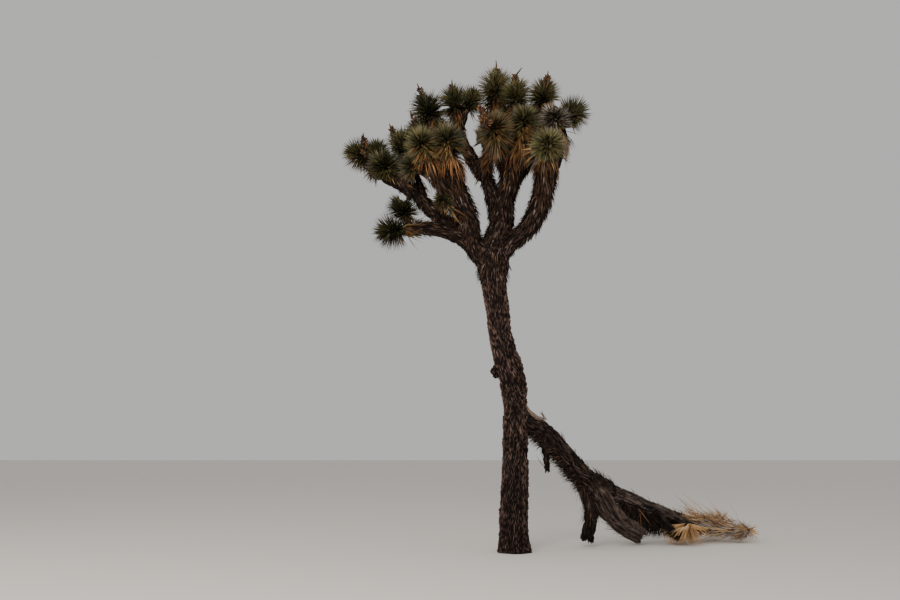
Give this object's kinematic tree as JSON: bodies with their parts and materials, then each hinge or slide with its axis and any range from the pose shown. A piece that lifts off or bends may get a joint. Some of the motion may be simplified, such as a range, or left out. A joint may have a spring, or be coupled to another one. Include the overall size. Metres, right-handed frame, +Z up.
{
  "type": "joshua tree",
  "caption": "Whole joshua tree with a leaning trunk, shaggy forking boughs, ball-shaped heads of dagger leaves, and a broken bough leaning on the ground.",
  "frame": {"origin": "middle of the flat cut under the trunk, at ground level", "axes": "+Z up the trunk, +X towards the side that the broken bough falls to, +Y towards the back of the crown"},
  "size_m": [6.7738, 3.2403, 7.9102],
  "materials": {
    "dry_bark": "rough dry bark in small upright plates",
    "bough_thatch": "matte, shaggy with old leaves that hang back",
    "weathered_wood": "matte, grey and cracked",
    "green_leaves": "satin, stiff leaves",
    "straw_leaves": "matte, dead and dry"
  },
  "bodies": {
    "root": {"broken_bough": "weathered_wood", "broken_bough_middle": "weathered_wood", "broken_bough_right": "weathered_wood", "broken_bough_spur": "weathered_wood", "broken_bough_stub": "weathered_wood", "broken_bough_twig": "weathered_wood", "centre_bough": "bough_thatch", "centre_front_head": "green_leaves", "centre_left_bough": "bough_thatch", "centre_left_head": "green_leaves", "centre_left_side_head": "green_leaves", "centre_near_bough": "bough_thatch", "centre_near_head": "green_leaves", "dead_far_head": "straw_leaves", "dead_side_head": "straw_leaves", "dead_tip_head": "straw_leaves", "far_left_bough": "bough_thatch", "far_left_head": "green_leaves", "inner_left_bough": "bough_thatch", "inner_left_head": "green_leaves", "left_back_bough": "bough_thatch", "left_front_bough": "bough_thatch", "left_front_head": "green_leaves", "left_shaded_head": "green_leaves", "left_small_head": "green_leaves", "left_top_head": "green_leaves", "left_upper_head": "green_leaves", "low_left_bough": "bough_thatch", "low_left_head": "green_leaves", "low_left_upper_head": "green_leaves", "outer_left_bough": "bough_thatch", "outer_left_head": "green_leaves", "outer_left_upper_head": "green_leaves", "outer_right_bough": "bough_thatch", "outer_right_head": "green_leaves", "outer_right_near_head": "green_leaves", "rear_bough": "bough_thatch", "rear_centre_bough": "bough_thatch", "rear_centre_head": "green_leaves", "rear_left_bough": "bough_thatch", "rear_left_head": "green_leaves", "rear_left_side_head": "green_leaves", "rear_right_bough": "bough_thatch", "rear_right_head": "green_leaves", "rear_top_head": "green_leaves", "rear_top_right_head": "green_leaves", "right_bough": "bough_thatch", "right_front_head": "green_leaves", "top_bough": "bough_thatch", "top_head": "green_leaves", "top_near_bough": "bough_thatch", "top_near_head": "green_leaves", "top_right_bough": "bough_thatch", "top_right_head": "green_leaves", "trunk": "dry_bark"}
  },
  "joints": []
}
